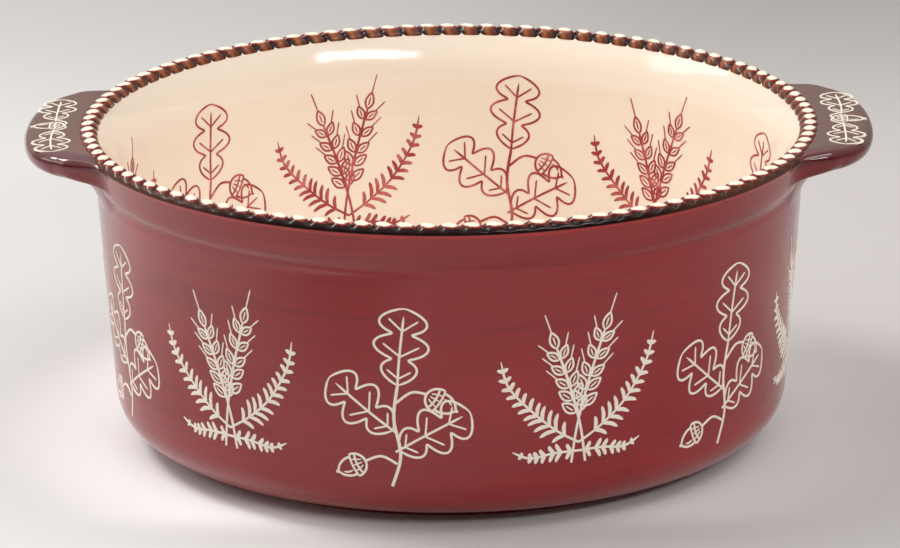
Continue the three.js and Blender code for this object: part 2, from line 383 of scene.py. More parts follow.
def revolve(profile, steps):
    """A profile that starts and ends on the axis, or closes on itself, turned about Z.

    Returns the vertices, the faces and, for each face, the part of the profile it came from.
    """
    closes = (profile[0] - profile[-1]).length < 1e-9
    rows = []
    vertices = []
    for point in profile[:-1] if closes else profile:
        if point.x < 1e-9:
            rows.append([len(vertices)] * steps)
            vertices.append(Vector((0.0, 0.0, point.y)))
            continue
        rows.append(range(len(vertices), len(vertices) + steps))
        for step in range(steps):
            turn = 2.0 * math.pi * step / steps
            vertices.append(Vector((point.x * math.cos(turn), point.x * math.sin(turn), point.y)))
    if closes:
        rows.append(rows[0])
    faces = []
    parts = []
    for part, (low, high) in enumerate(zip(rows, rows[1:])):
        for step in range(steps):
            after = (step + 1) % steps
            ring = dict.fromkeys((low[step], low[after], high[after], high[step]))
            faces.append(tuple(ring))
            parts.append(part)
    return vertices, faces, parts


def loft(rings, closed, first=0):
    """Closed rings of equal length joined in order; open lofts get end caps."""
    count = len(rings[0])
    spans = len(rings) if closed else len(rings) - 1
    faces = []
    for ring in range(spans):
        here = first + ring * count
        there = first + (ring + 1) % len(rings) * count
        for side in range(count):
            after = (side + 1) % count
            faces.append((here + side, here + after, there + after, there + side))
    if not closed:
        last = first + (len(rings) - 1) * count
        faces.append(tuple(range(first, first + count)))
        faces.append(tuple(range(last + count - 1, last - 1, -1)))
    return faces


def add_piece(name, vertices, faces, materials, face_materials=None, marks=None, sharp=40.0):
    """A closed, smooth-shaded piece that rides on the dish's body."""
    mesh = bpy.data.meshes.new(name)
    mesh.from_pydata(vertices, [], faces)
    for material in materials:
        mesh.materials.append(material)
    if face_materials:
        mesh.polygons.foreach_set("material_index", face_materials)
    for mark, values in (marks or {}).items():
        mesh.attributes.new(mark, "FLOAT", "POINT").data.foreach_set("value", values)
    shaped = bmesh.new()
    shaped.from_mesh(mesh)
    bmesh.ops.recalc_face_normals(shaped, faces=shaped.faces)
    if any(not edge.is_manifold for edge in shaped.edges):
        raise RuntimeError(f"{name} isn't a closed mesh")
    shaped.to_mesh(mesh)
    shaped.free()
    mesh.polygons.foreach_set("use_smooth", [True] * len(mesh.polygons))
    mesh.set_sharp_from_angle(angle=math.radians(sharp))
    piece = bpy.data.objects.new(name, mesh)
    bpy.context.scene.collection.objects.link(piece)
    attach(piece, BODY)
    return piece


def add_loft(name, rings, closed, material, marks, sharp):
    """A piece made of rings joined in order."""
    vertices = [point for ring in rings for point in ring]
    return add_piece(name, vertices, loft(rings, closed), (material,), marks=marks, sharp=sharp)


# Shader node groups


def shared_group(name, inputs, outputs, fill):
    """A shader node group, made when it is first asked for.

    inputs holds the defaults and outputs the kinds of the sockets. fill(group, inputs) makes
    the nodes and returns what feeds the outputs, in the same order.
    """
    if name in bpy.data.node_groups:
        return bpy.data.node_groups[name]
    group = bpy.data.node_groups.new(name, "ShaderNodeTree")
    for label, default in inputs.items():
        kind = "NodeSocketFloat" if isinstance(default, float) else "NodeSocketColor"
        socket = group.interface.new_socket(label, in_out="INPUT", socket_type=kind)
        socket.default_value = default
    for label, kind in outputs.items():
        group.interface.new_socket(label, in_out="OUTPUT", socket_type=kind)
    start = group.nodes.new("NodeGroupInput")
    end = group.nodes.new("NodeGroupOutput")
    for label, socket in zip(outputs, fill(group, start.outputs)):
        group.links.new(socket, end.inputs[label])
    return group


def node(tree, kind, **settings):
    """A node with its settings; a name that isn't a setting sets that input's value."""
    made = tree.nodes.new(kind)
    for name, value in settings.items():
        if hasattr(made, name):
            setattr(made, name, value)
        else:
            made.inputs[name.replace("_", " ")].default_value = value
    return made


def math_node(tree, operation, first, second=None, third=None):
    """A maths node whose inputs are sockets or numbers; returns its output socket."""
    made = tree.nodes.new("ShaderNodeMath")
    made.operation = operation
    for place, value in enumerate((first, second, third)):
        if isinstance(value, (int, float)):
            made.inputs[place].default_value = value
        elif value is not None:
            tree.links.new(value, made.inputs[place])
    return made.outputs[0]


def product(tree, first, second):
    """Two sockets multiplied."""
    return math_node(tree, "MULTIPLY", first, second)


def remap(tree, value, low, high, to_low=0.0, to_high=1.0):
    """A smooth step of a socket from one range to another."""
    made = node(tree, "ShaderNodeMapRange", interpolation_type="SMOOTHSTEP")
    tree.links.new(value, made.inputs["Value"])
    made.inputs["From Min"].default_value = low
    made.inputs["From Max"].default_value = high
    made.inputs["To Min"].default_value = to_low
    made.inputs["To Max"].default_value = to_high
    return made.outputs["Result"]


def noise(tree, vector, scale, detail=3.0, roughness=0.5):
    """A noise texture's value, from about 0.2 to 0.8."""
    made = node(tree, "ShaderNodeTexNoise", Scale=scale, Detail=detail, Roughness=roughness)
    tree.links.new(vector, made.inputs["Vector"])
    return made.outputs["Fac"]


def mix_colour(tree, factor, first, second):
    """Mix of two colours, each a socket or a colour; returns the mixed colour's socket."""
    made = tree.nodes.new("ShaderNodeMix")
    made.data_type = "RGBA"
    tree.links.new(factor, made.inputs[0])
    for socket, value in ((made.inputs[6], first), (made.inputs[7], second)):
        if isinstance(value, bpy.types.NodeSocket):
            tree.links.new(value, socket)
        else:
            socket.default_value = (*value, 1.0)
    return made.outputs[2]


def stretched_noise(tree, across, upward, detail=2.0, roughness=0.5):
    """Noise on object coordinates scaled apart across and upward, so it can run round the wall."""
    place = tree.nodes.new("ShaderNodeTexCoord")
    scaled = tree.nodes.new("ShaderNodeMapping")
    scaled.inputs["Scale"].default_value = (across, across, upward)
    tree.links.new(place.outputs["Object"], scaled.inputs["Vector"])
    return noise(tree, scaled.outputs["Vector"], 1.0, detail, roughness)


def coordinates(tree, kind="Object"):
    """Sockets of the texture coordinates of a kind: the vector, X, Y and Z."""
    place = tree.nodes.new("ShaderNodeTexCoord")
    split = tree.nodes.new("ShaderNodeSeparateXYZ")
    tree.links.new(place.outputs[kind], split.inputs[0])
    return place.outputs[kind], *(split.outputs[axis] for axis in "XYZ")


def glaze_tone_group():
    """Brushed glaze: a thin and a thick tone in streaks round the wall, clouded by pooling."""

    def fill(group, given):
        streak = stretched_noise(group, 7.0, 210.0, 4.0, 0.6)
        fine_streak = stretched_noise(group, 16.0, 900.0)
        cloud = stretched_noise(group, 14.0, 30.0, 3.0, 0.55)
        streaks = math_node(group, "ADD", streak, product(group, fine_streak, 0.5))
        thick = product(group, remap(group, streaks, 0.7, 0.95), given["Streaks"])
        thin = product(group, remap(group, cloud, 0.46, 0.68), given["Clouds"])
        first = mix_colour(group, thick, given["Tone"], given["Thick tone"])
        return (mix_colour(group, thin, first, given["Thin tone"]),)

    grey = (0.5, 0.5, 0.5, 1.0)
    inputs = {"Tone": grey, "Thick tone": grey, "Thin tone": grey, "Streaks": 0.5, "Clouds": 0.5}
    return shared_group("Glaze tone", inputs, {"Color": "NodeSocketColor"}, fill)


def glaze_surface_group():
    """Unevenness of a fired glaze: slow waves, fine orange peel and patches of roughness."""
    peel_share = 0.06

    def fill(group, given):
        waves = product(group, stretched_noise(group, 34.0, 60.0), given["Waves"])
        peel = product(group, stretched_noise(group, 700.0, 700.0), peel_share)
        height = math_node(group, "ADD", waves, product(group, peel, given["Peel"]))
        patchy = remap(group, stretched_noise(group, 55.0, 120.0, 3.0, 0.6), 0.3, 0.7)
        spread = math_node(group, "SUBTRACT", given["Rough"], given["Smooth"])
        return math_node(group, "MULTIPLY_ADD", patchy, spread, given["Smooth"]), height

    inputs = {"Smooth": 0.1, "Rough": 0.2, "Waves": 1.0, "Peel": 1.0}
    outputs = {"Roughness": "NodeSocketFloat", "Height": "NodeSocketFloat"}
    return shared_group("Glaze surface", inputs, outputs, fill)


def wandering_mask_group():
    """Turns a mark painted on the mesh into a mask whose border wanders as a brush would."""

    def fill(group, given):
        wander = stretched_noise(group, 420.0, 420.0, 2.0, 0.6)
        centred = math_node(group, "SUBTRACT", wander, 0.5)
        moved = math_node(group, "MULTIPLY_ADD", centred, given["Wander"], given["Mark"])
        softened = math_node(group, "DIVIDE", moved, given["Softness"])
        return remap(group, softened, -1.0, 1.0), moved

    inputs = {"Mark": 0.0, "Wander": 0.2, "Softness": 0.1}
    outputs = {"Mask": "NodeSocketFloat", "Moved mark": "NodeSocketFloat"}
    return shared_group("Wandering border", inputs, outputs, fill)


# Materials


def place_group(tree, group, **values):
    """A node group placed in a material with its own values."""
    made = tree.nodes.new("ShaderNodeGroup")
    made.node_tree = group
    for name, value in values.items():
        made.inputs[name.replace("_", " ")].default_value = value
    return made


def glossy_glaze(name, tone, bump, index=1.55, **surface):
    """A glaze material. tone fills the tree and returns the colour's socket.

    bump is the bump's distance in metres, and surface holds the values of the glaze's surface.
    """
    material = bpy.data.materials.new(name)
    material.use_nodes = True
    tree = material.node_tree
    shader = tree.nodes["Principled BSDF"]
    shader.inputs["IOR"].default_value = index
    tree.links.new(tone(tree), shader.inputs["Base Color"])
    uneven = place_group(tree, glaze_surface_group(), **surface)
    tree.links.new(uneven.outputs["Roughness"], shader.inputs["Roughness"])
    bumped = node(tree, "ShaderNodeBump", Strength=1.0, Distance=bump)
    tree.links.new(uneven.outputs["Height"], bumped.inputs["Height"])
    tree.links.new(bumped.outputs["Normal"], shader.inputs["Normal"])
    return material


def toned_glaze(tree, tone, thick, thin, streaks, clouds):
    """The colour of a brushed glaze from its plain, thick and thin tones."""
    toned = place_group(
        tree, glaze_tone_group(), Tone=(*tone, 1.0), Thick_tone=(*thick, 1.0), Thin_tone=(*thin, 1.0),
        Streaks=streaks, Clouds=clouds)
    return toned.outputs["Color"]


def mesh_mark(tree, name):
    """A value kept on the mesh's points, as a socket."""
    made = node(tree, "ShaderNodeAttribute", attribute_name=name)
    return made.outputs["Fac"]


def wandering_mark(tree, name, wander, softness):
    """A mark of the mesh with a wandering border, as the sockets of the mask and the moved mark."""
    border = place_group(tree, wandering_mask_group(), Wander=wander, Softness=softness)
    tree.links.new(mesh_mark(tree, name), border.inputs["Mark"])
    return border.outputs["Mask"], border.outputs["Moved mark"]


def toward_handles(tree, start, end, most):
    """Rises from 0 to the most between two distances from the dish's middle towards a handle."""
    aside = math_node(tree, "ABSOLUTE", coordinates(tree)[1])
    return remap(tree, aside, start, end, 0.0, most)


def brushed_red(tree, colours):
    """Brick-red glaze in brushed streaks."""
    return toned_glaze(
        tree, colours.red, colours.deep_red, colours.bright_red, streaks=0.75, clouds=0.32)


def red_tone(tree, colours, bowl):
    """Brushed red, bright where it breaks under the lip and deep at the foot."""
    lip_start = bowl.lip_height - 1.6 * MM
    lip_full = bowl.lip_height - 1.2 * MM
    lip_wander = 1.2 * MM
    foot_fade = 3.0 * MM
    place, _, _, height = coordinates(tree)
    wandering = math_node(tree, "MULTIPLY_ADD", noise(tree, place, 160.0, 2.0), lip_wander, height)
    lip = remap(tree, wandering, lip_start, lip_full)
    base = remap(tree, height, bowl.base_height, bowl.base_height + foot_fade, 1.0, 0.0)
    broken = mix_colour(tree, lip, brushed_red(tree, colours), colours.lip_red)
    return mix_colour(tree, base, broken, colours.deep_red)


def brown_tone(tree, colours):
    """Dark brown glaze with a redder brown where it thins."""
    thinner = tuple(1.4 * part for part in colours.brown)
    return toned_glaze(tree, colours.brown, colours.brown, thinner, streaks=0.3, clouds=0.8)


def red_material(colours, bowl):
    """Glaze of the outside of the bowl."""
    return glossy_glaze(
        "Brick red glaze", lambda tree: red_tone(tree, colours, bowl),
        bump=0.35 * MM, index=1.6, Smooth=0.10, Rough=0.17, Waves=1.0, Peel=1.0)


def cream_material(colours):
    """Glaze of the inside."""

    def tone(tree):
        return toned_glaze(
            tree, colours.cream, colours.warm_cream, colours.cream, streaks=0.25, clouds=0.5)

    return glossy_glaze(
        "Cream glaze", tone, bump=0.30 * MM, Smooth=0.08, Rough=0.13, Waves=1.0, Peel=0.8)


def rope_material(colours):
    """Brown glaze wiped back to cream on the crowns, with a rust or red fringe round them."""
    pool_reach = (0.055, 0.105)
    pool_share = 0.6
    pool_edges = (0.08, 0.6)
    fringe_red = (0.0, 0.3)
    fringe_edges = (-0.55, -0.06)

    def tone(tree):
        brown = brown_tone(tree, colours)
        wiped, moved = wandering_mark(tree, "wiped", wander=0.55, softness=0.10)
        deep = mesh_mark(tree, "deep")
        thinned = mix_colour(tree, mesh_mark(tree, "rusty"), brown, colours.rust)
        browner = toward_handles(tree, *pool_reach, pool_share)
        pooled = mix_colour(tree, browner, colours.umber, brown)
        ground = mix_colour(tree, remap(tree, deep, *pool_edges), thinned, pooled)
        edge = mix_colour(tree, remap(tree, deep, *fringe_red), colours.rust, colours.deep_red)
        fringed = mix_colour(tree, remap(tree, moved, *fringe_edges), ground, edge)
        return mix_colour(tree, wiped, fringed, colours.wiped)

    return glossy_glaze(
        "Wiped rope glaze", tone, bump=0.22 * MM, index=1.30, Smooth=0.11, Rough=0.20, Waves=0.5,
        Peel=1.2)


def handle_material(colours):
    """Red flank with painted shade towards its outer end, a deep red band of painted dark reflection over
    the crown, and brown on the top.
    """
    painted_shade_reach = (0.106, 0.128)
    painted_shade_share = 0.55

    def tone(tree):
        crown, _ = wandering_mark(tree, "crown_side", wander=1.2, softness=0.9)
        top, _ = wandering_mark(tree, "brown_side", wander=0.8, softness=0.35)
        # Painted shade: the handle's outer part is mixed towards the dark red, darkening its flank.
        outward = toward_handles(tree, *painted_shade_reach, painted_shade_share)
        thick = mix_colour(tree, outward, brushed_red(tree, colours), colours.painted_shade_red)
        # Painted reflection: the band over the crown is painted dark red where the rounded edge would
        # reflect dark surroundings.
        flank = mix_colour(tree, crown, thick, colours.painted_shade_red)
        return mix_colour(tree, top, flank, brown_tone(tree, colours))

    return glossy_glaze(
        "Handle glaze", tone, bump=0.35 * MM, index=1.6, Smooth=0.10, Rough=0.18, Waves=1.0, Peel=1.0)


def foot_material(colours, bowl):
    """Red glaze down to the unglazed face that stands on the table."""
    glaze_edges = (0.15 * MM, 0.5 * MM)

    def tone(tree):
        bare = remap(tree, coordinates(tree)[3], *glaze_edges, 1.0, 0.0)
        return mix_colour(tree, bare, red_tone(tree, colours, bowl), colours.bare_clay)

    return glossy_glaze("Foot glaze", tone, bump=0.30 * MM, Smooth=0.16, Rough=0.34, Waves=1.0, Peel=2.0)


def line_material(name, first, second):
    """A drawn line that is heavier and lighter along its length."""
    thin_edges = (0.42, 0.66)

    def tone(tree):
        uneven = stretched_noise(tree, 160.0, 160.0, 3.0, 0.6)
        return mix_colour(tree, remap(tree, uneven, *thin_edges), first, second)

    return glossy_glaze(name, tone, bump=0.20 * MM, Smooth=0.22, Rough=0.36, Waves=0.4, Peel=3.0)


# Drawing of the ornament. A stroke is a list of (across, up, width) points in millimetres.


def smooth_path(points, step=0.8):
    """Points joined by one smooth curve through all of them, about a step apart."""
    ends = [points[0], *points, points[-1]]
    found = []
    for before, start, end, after in zip(ends, ends[1:], ends[2:], ends[3:]):
        p0, p1, p2, p3 = (Vector(point) for point in (before, start, end, after))
        pieces = max(1, round((p2 - p1).length / step))
        for piece in range(pieces):
            t = piece / pieces
            found.append(
                0.5 * (2 * p1 + (p2 - p0) * t + (2 * p0 - 5 * p1 + 4 * p2 - p3) * t**2
                       + (3 * p1 - p0 - 3 * p2 + p3) * t**3)
            )
    found.append(Vector(points[-1]))
    return found


def drawn(path, width, thin_start=0.35, thin_end=0.35, swell=0.0):
    """A stroke along a path: thinner at its ends, and swollen in the middle where asked."""
    last = max(1, len(path) - 1)
    stroke = []
    for place, point in enumerate(path):
        along = place / last
        taper = min(1.0, thin_start + 6.0 * along, thin_end + 6.0 * (1.0 - along))
        stroke.append((point[0], point[1], width * taper * (1.0 + swell * math.sin(math.pi * along))))
    return stroke


def turned_to(base, direction, points):
    """Points given as (along, aside) from a base, turned to a direction in degrees."""
    turn = math.radians(direction)
    ahead = Vector((math.cos(turn), math.sin(turn)))
    aside = Vector((-ahead.y, ahead.x))
    return [Vector(base) + ahead * along + aside * side for along, side in points]


def placed(base, direction, points, weight, thin_start=0.8, thin_end=0.8):
    """A stroke through points that are given as (along, aside) from a base."""
    return drawn(turned_to(base, direction, points), weight, thin_start, thin_end)


def curved(base, direction, points, weight, thin_start=0.8, thin_end=0.8):
    """The same, with the points joined by a smooth curve."""
    return drawn(smooth_path(turned_to(base, direction, points)), weight, thin_start, thin_end)


def oak_leaf(base, direction, size, half):
    """A lobed leaf: outline, midrib and a vein into each lobe."""
    lobes = 3
    steps = 14 * lobes
    strokes = []

    def edge(part):
        swell = (4.0 * part * (1.0 - part)) ** 0.5 * (0.78 + 0.44 * part)
        return half * swell * (0.68 - 0.32 * math.cos(2.0 * math.pi * lobes * part))

    for side in (1, -1):
        outline = []
        for step in range(steps + 1):
            part = step / steps
            lean = 0.035 * math.sin(2.0 * math.pi * lobes * part)
            outline.append((size * (part - lean), side * edge(part)))
        strokes.append(placed(base, direction, outline, OUTLINE, 0.6, 0.6))
        for lobe in range(lobes):
            tip = (lobe + 0.56) / lobes
            root = max(0.08, tip - 0.15)
            vein = [(size * root, 0.0), (size * (root + tip) / 2, side * 0.34 * edge(tip)),
                    (size * tip, side * 0.68 * edge(tip))]
            strokes.append(curved(base, direction, vein, VEIN, 0.8, 0.25))
    rib = [(-1.5, 0.0), (0.35 * size, 0.25), (0.9 * size, 0.0)]
    strokes.append(curved(base, direction, rib, OUTLINE, 1.0, 0.25))
    return strokes


def acorn(base, direction, size):
    """An acorn in its scaled cup, seen from the side."""
    cup = 0.40 * size
    wide = 0.37 * size
    dome = oval((cup, 0.0), -cup, wide, -math.pi / 2, math.pi / 2, 12)
    strokes = [placed(base, direction, dome, OUTLINE)]
    for level, reach in ((1.0, 1.0), (0.62, 0.86)):
        rim = [(cup * level + 0.05 * size * (1 - x * x), wide * reach * x)
               for x in (-1 + step / 6 for step in range(13))]
        strokes.append(placed(base, direction, rim, RIM))
    for x in (-0.5, 0.0, 0.5):
        scale = [(0.12 * size, 0.5 * x * wide), (0.72 * cup, 0.9 * x * wide), (cup, x * wide)]
        strokes.append(placed(base, direction, scale, FINE))
    nut = ((0.40, 0.29), (0.62, 0.28), (0.84, 0.17), (0.94, 0.04), (1.04, 0.0))
    for side in (1, -1):
        half = [(along * size, side * aside * size) for along, aside in nut]
        strokes.append(curved(base, direction, half, OUTLINE, 0.8, 0.6))
    gleam = [(along * size, aside * size) for along, aside in ((0.50, 0.13), (0.66, 0.14), (0.80, 0.07))]
    strokes.append(curved(base, direction, gleam, GLEAM, 0.3, 0.2))
    return strokes


def kernel(base, direction, size, half):
    """A pointed oval grain with a crease."""
    strokes = []
    for side in (1, -1):
        outline = [(size * t, side * half * math.sin(math.pi * t**0.85)) for t in
                   (step / 9 for step in range(10))]
        strokes.append(placed(base, direction, outline, RIM, 0.7, 0.7))
    crease = [(0.22 * size, 0.0), (0.72 * size, 0.0)]
    strokes.append(curved(base, direction, crease, FINE, 0.5, 0.3))
    return strokes


def along_path(path, part):
    """Point and direction in degrees at a share of a path's length."""
    place = min(len(path) - 2, int(part * (len(path) - 1)))
    step = path[place + 1] - path[place]
    return path[place], math.degrees(math.atan2(step.y, step.x))


def wheat_ear(path, start, pairs, size):
    """Grains in pairs up the last part of a stem, with a beard of fine awns."""
    bearded = 3
    strokes = []
    for pair in range(pairs):
        point, heading = along_path(path, start + (1.0 - start) * pair / pairs)
        smaller = size * (1.0 - 0.22 * pair / pairs)
        for side in (1, -1):
            lean = heading + side * 38.0
            root = turned_to(point, heading, [(0.0, side * 0.5)])[0]
            strokes += kernel(root, lean, smaller, 0.25 * smaller)
            if pair >= pairs - bearded:
                awn = [(smaller, 0.0), (1.9 * smaller, -side * 0.12 * smaller)]
                strokes.append(curved(point, lean, awn, AWN, 0.8, 0.15))
    top, heading = along_path(path, 1.0)
    strokes += kernel(top, heading, size, 0.24 * size)
    strokes.append(curved(top, heading, [(size, 0.0), (2.1 * size, 0.0)], AWN, 0.8, 0.15))
    return strokes


def fern_frond(points, leaflets, size):
    """An arching rib with leaflets in pairs that shorten towards its tip."""
    rib = smooth_path(points)
    strokes = [drawn(rib, OUTLINE, 0.9, 0.3)]
    for leaflet in range(leaflets):
        point, heading = along_path(rib, 0.16 + 0.80 * leaflet / leaflets)
        reach = size * (1.0 - 0.72 * leaflet / leaflets) * (0.75 if leaflet == 0 else 1.0)
        for side in (1, -1):
            leaf = [(0.0, 0.0), (0.5 * reach, -side * 0.10 * reach), (reach, -side * 0.02 * reach)]
            leaf_path = smooth_path(turned_to(point, heading + side * 58.0, leaf), 0.6)
            strokes.append(drawn(leaf_path, RIM, 0.45, 0.15, swell=0.9))
    return strokes


def oak_sprig():
    """Three oak leaves and two acorns on one bending stem, about 54 by 62 mm."""
    stem = smooth_path([(-1.5, 0.0), (1.5, 11.0), (-0.5, 24.0), (1.0, 36.0)])
    strokes = [drawn(stem, STEM, 1.2, 0.7)]
    for base, direction, half in (
        ((1.0, 36.0), 84.0, 9.0), ((-1.0, 20.0), 141.0, 8.6), ((1.2, 13.0), 30.0, 8.6),
    ):
        strokes += oak_leaf(base, direction, 27.0, half)
    for stalk, direction, size in (
        ([(0.2, 29.5), (5.5, 33.5), (10.5, 33.0)], -32.0, 11.5),
        ([(0.3, 8.0), (-5.0, 10.5), (-10.5, 8.5)], 205.0, 11.0),
    ):
        strokes.append(drawn(smooth_path(stalk), STALK, 0.9, 0.9))
        strokes += acorn(stalk[-1], direction, size)
    return strokes


def wheat_sprig():
    """Two ears of wheat crossing between a pair of fern fronds, about 54 by 62 mm."""
    strokes = []
    for side, lift in ((1, 1.0), (-1, 0.9)):
        stem = smooth_path([(-2.5 * side, 0.0), (-0.5 * side, 14.0 * lift), (3.5 * side, 30.0 * lift),
                            (8.5 * side, 46.0 * lift)])
        strokes.append(drawn(stem, WHEAT_STEM, 1.0, 0.6))
        strokes += wheat_ear(stem, 0.44, 5, 6.2)
        high = [(0.0, 7.0), (8.0 * side, 12.0), (17.0 * side, 20.0), (24.5 * side, 32.0 * lift),
                (27.0 * side, 42.0 * lift)]
        low = [(0.0, 4.0), (8.5 * side, 4.0), (17.0 * side, 3.0), (23.0 * side, 5.5)]
        strokes += fern_frond(high, 11, 6.6)
        strokes += fern_frond(low, 7, 4.4)
    return strokes


def handle_spray():
    """An acorn between two oak leaves, lying along a handle, about 64 by 14 mm."""
    strokes = acorn((0.0, -4.6), 90.0, 11.0)
    for side in (1, -1):
        stalk = smooth_path([(0.0, -4.6), (side * 3.4, -5.2), (side * 7.0, -1.2)])
        strokes.append(drawn(stalk, SPRAY_STALK, 0.9, 0.9))
        strokes += oak_leaf((side * 7.0, -1.2), 90.0 - side * 84.0, 25.0, 6.4)
    return strokes


def ribbons(strokes, place, line, relief, sink):
    """Low closed ribbons for strokes, as vertices and faces.

    place(across, up) gives a point and a normal. The lines differ in height by a few
    hundredths, so that no two faces fall together where they cross.
    """
    crown = 0.62
    vertices = []
    faces = []
    for count, stroke in enumerate(strokes):
        lift = relief * (1.0 + 0.06 * (count % 5))
        section = ((-1.0, -sink), (-crown, lift), (crown, lift), (1.0, -sink))
        first = len(vertices)
        rings = []
        for index, (across, up, width) in enumerate(stroke):
            before = stroke[max(0, index - 1)]
            after = stroke[min(len(stroke) - 1, index + 1)]
            run = Vector((after[0] - before[0], after[1] - before[1]))
            run = run.normalized() if run.length > 1e-9 else Vector((1.0, 0.0))
            half = 0.5 * width * line
            ring = []
            for reach, height in section:
                offset = half * reach / MM
                point, normal = place(across - run.y * offset, up + run.x * offset)
                ring.append(point + normal * height)
            rings.append(ring)
        vertices.extend(point for ring in rings for point in ring)
        faces.extend(loft(rings, False, first))
    return vertices, faces


def wall_place(profile, turn, foot, sign):
    """Places (across, up) millimetres on a wall face; sign 1 is outside and -1 inside."""
    half_height = 30.0 * MM
    middle = profile_point(profile, foot + half_height)[0].x

    def place(across, up):
        point, slope = profile_point(profile, foot + up * MM)
        around = turn + sign * across * MM / middle
        outward = Vector((math.cos(around), math.sin(around), 0.0))
        normal = (outward * slope.y - Vector((0.0, 0.0, slope.x))) * sign
        return outward * point.x + Vector((0.0, 0.0, point.y)), normal

    return place


# Operators


class BAKER_OT_studio(bpy.types.Operator):
    """Make the floor, the lamps, the room's light and the camera"""

    bl_idname = "baker.studio"
    bl_label = "Studio"

    def execute(self, context):
        studio = context.scene.baker_studio
        add_floor(studio)
        add_lamps(studio)
        add_room(context, studio)
        add_camera(context, studio)
        return {"FINISHED"}


def floor_material(studio):
    """Pale paper with painted light and shade: painted shade towards the right and in zones round the
    dish, painted light at the far left and close beside and behind it. Places in metres.
    """
    painted_shadow_tone = (0.3, 0.29, 0.28)
    painted_light_tone = (0.78, 0.77, 0.76)
    painted_bounce_tone = (0.97, 0.96, 0.95)
    grain_tone = (0.3, 0.3, 0.3)
    slant = 0.35
    material = bpy.data.materials.new("Pale floor")
    material.use_nodes = True
    tree = material.node_tree
    shader = tree.nodes["Principled BSDF"]
    shader.inputs["Roughness"].default_value = 0.75
    shader.inputs["Specular IOR Level"].default_value = 0.2
    place, aside, away, _ = coordinates(tree)

    def zone(along, across):
        """Two smooth steps multiplied, each as (start, end, value before, value after)."""
        return product(tree, remap(tree, away, *along), remap(tree, aside, *across))

    # Painted light falloff: lit at the left and in front, painted shade towards the right and the back.
    darker = remap(tree, math_node(tree, "MULTIPLY_ADD", away, slant, aside), -0.22, 0.30)
    shaded = mix_colour(tree, darker, studio.floor_painted_lit, studio.floor_painted_shade)
    # Painted shadows: far behind at the right, beside the dish at the front right and in front of it, the
    # floor is darkened towards a shadow grey.
    far = zone((0.28, 0.62, 0.0, 0.38), (-0.05, 0.15, 1.0, 2.3))
    beside = zone((-0.11, -0.02, 0.20, 0.0), (-0.055, 0.0, 0.0, 1.0))
    front = zone((-0.27, -0.14, 0.75, 0.0), (-0.12, -0.02, 1.0, 0.25))
    dim = math_node(tree, "ADD", math_node(tree, "ADD", far, beside), front)
    dimmed = mix_colour(tree, dim, shaded, painted_shadow_tone)
    # Painted light: the floor far at the left is lightened, so the wall shows a brighter reflection
    # there.
    painted_light_left = mix_colour(tree, remap(tree, aside, -0.30, -0.19, 1.0, 0.0), dimmed, painted_light_tone)
    # Painted light: a pool of bounced light painted on the floor close round the sides and back of the
    # dish.
    squares = math_node(tree, "MULTIPLY_ADD", away, away, math_node(tree, "POWER", aside, 2.0))
    close = remap(tree, math_node(tree, "SQRT", squares), 0.108, 0.168, 1.0, 0.0)
    bounced = product(tree, close, zone((-0.118, -0.088, 0.0, 1.0), (-0.06, 0.05, 0.95, 0.5)))
    lit = mix_colour(tree, bounced, painted_light_left, painted_bounce_tone)
    grain = remap(tree, noise(tree, place, 900.0, 3.0, 0.6), 0.3, 0.7, 0.0, 0.02)
    tree.links.new(mix_colour(tree, grain, lit, grain_tone), shader.inputs["Base Color"])
    return material


def add_floor(studio):
    """A wide pale floor, in rings that widen outward."""
    first = 0.2
    reach = 14.0
    rings = 16
    steps = 48
    profile = [Vector((first * (reach / first) ** (ring / rings), 0.0)) for ring in range(rings, -1, -1)]
    vertices, faces, _ = revolve([*profile, Vector((0.0, 0.0))], steps)
    mesh = bpy.data.meshes.new("floor")
    mesh.from_pydata(vertices, [], faces)
    mesh.materials.append(floor_material(studio))
    floor = bpy.data.objects.new("floor", mesh)
    bpy.context.scene.collection.objects.link(floor)


def away_from_dish(turn, rise):
    """Direction from the dish, turned from the camera's side and raised from the horizon."""
    return Vector((math.sin(turn) * math.cos(rise), -math.cos(turn) * math.cos(rise), math.sin(rise)))


def add_looking(name, data, location, ahead):
    """A lamp or camera at a place, looking ahead."""
    holder = bpy.data.objects.new(name, data)
    holder.location = location
    holder.rotation_mode = "QUATERNION"
    holder.rotation_quaternion = ahead.to_track_quat("-Z", "Y")
    bpy.context.scene.collection.objects.link(holder)
    return holder


def add_lamp(name, azimuth, elevation, distance, size, brightness):
    """A soft square lamp that faces the dish. Azimuth 0 is at the camera's side, in degrees.

    Brightness is what the lamp's face shows, where 1 is a white wall in the same light.
    """
    width, height = size
    faced = Vector((0.0, 0.0, 0.08))
    lamp = bpy.data.lights.new(name, "AREA")
    lamp.shape = "RECTANGLE"
    lamp.size = width
    lamp.size_y = height
    lamp.energy = brightness * math.pi * width * height
    away = away_from_dish(math.radians(azimuth), math.radians(elevation))
    add_looking(name, lamp, away * distance + faced, -away)


def add_lamps(studio):
    """Soft lamps at the left, the right and overhead."""
    add_lamp("left_lamp", -97.0, 24.0, 1.3, (0.8, 0.22), studio.side)
    add_lamp("left_spot", -112.0, 47.0, 1.6, (0.5, 0.4), studio.spot)
    add_lamp("front_lamp", 31.0, 28.0, 1.5, (0.9, 0.14), studio.front)
    add_lamp("right_lamp", 66.0, 50.0, 1.6, (0.8, 0.5), studio.right)
    add_lamp("overhead_lamp", -120.0, 75.0, 1.8, (1.2, 1.2), studio.top)


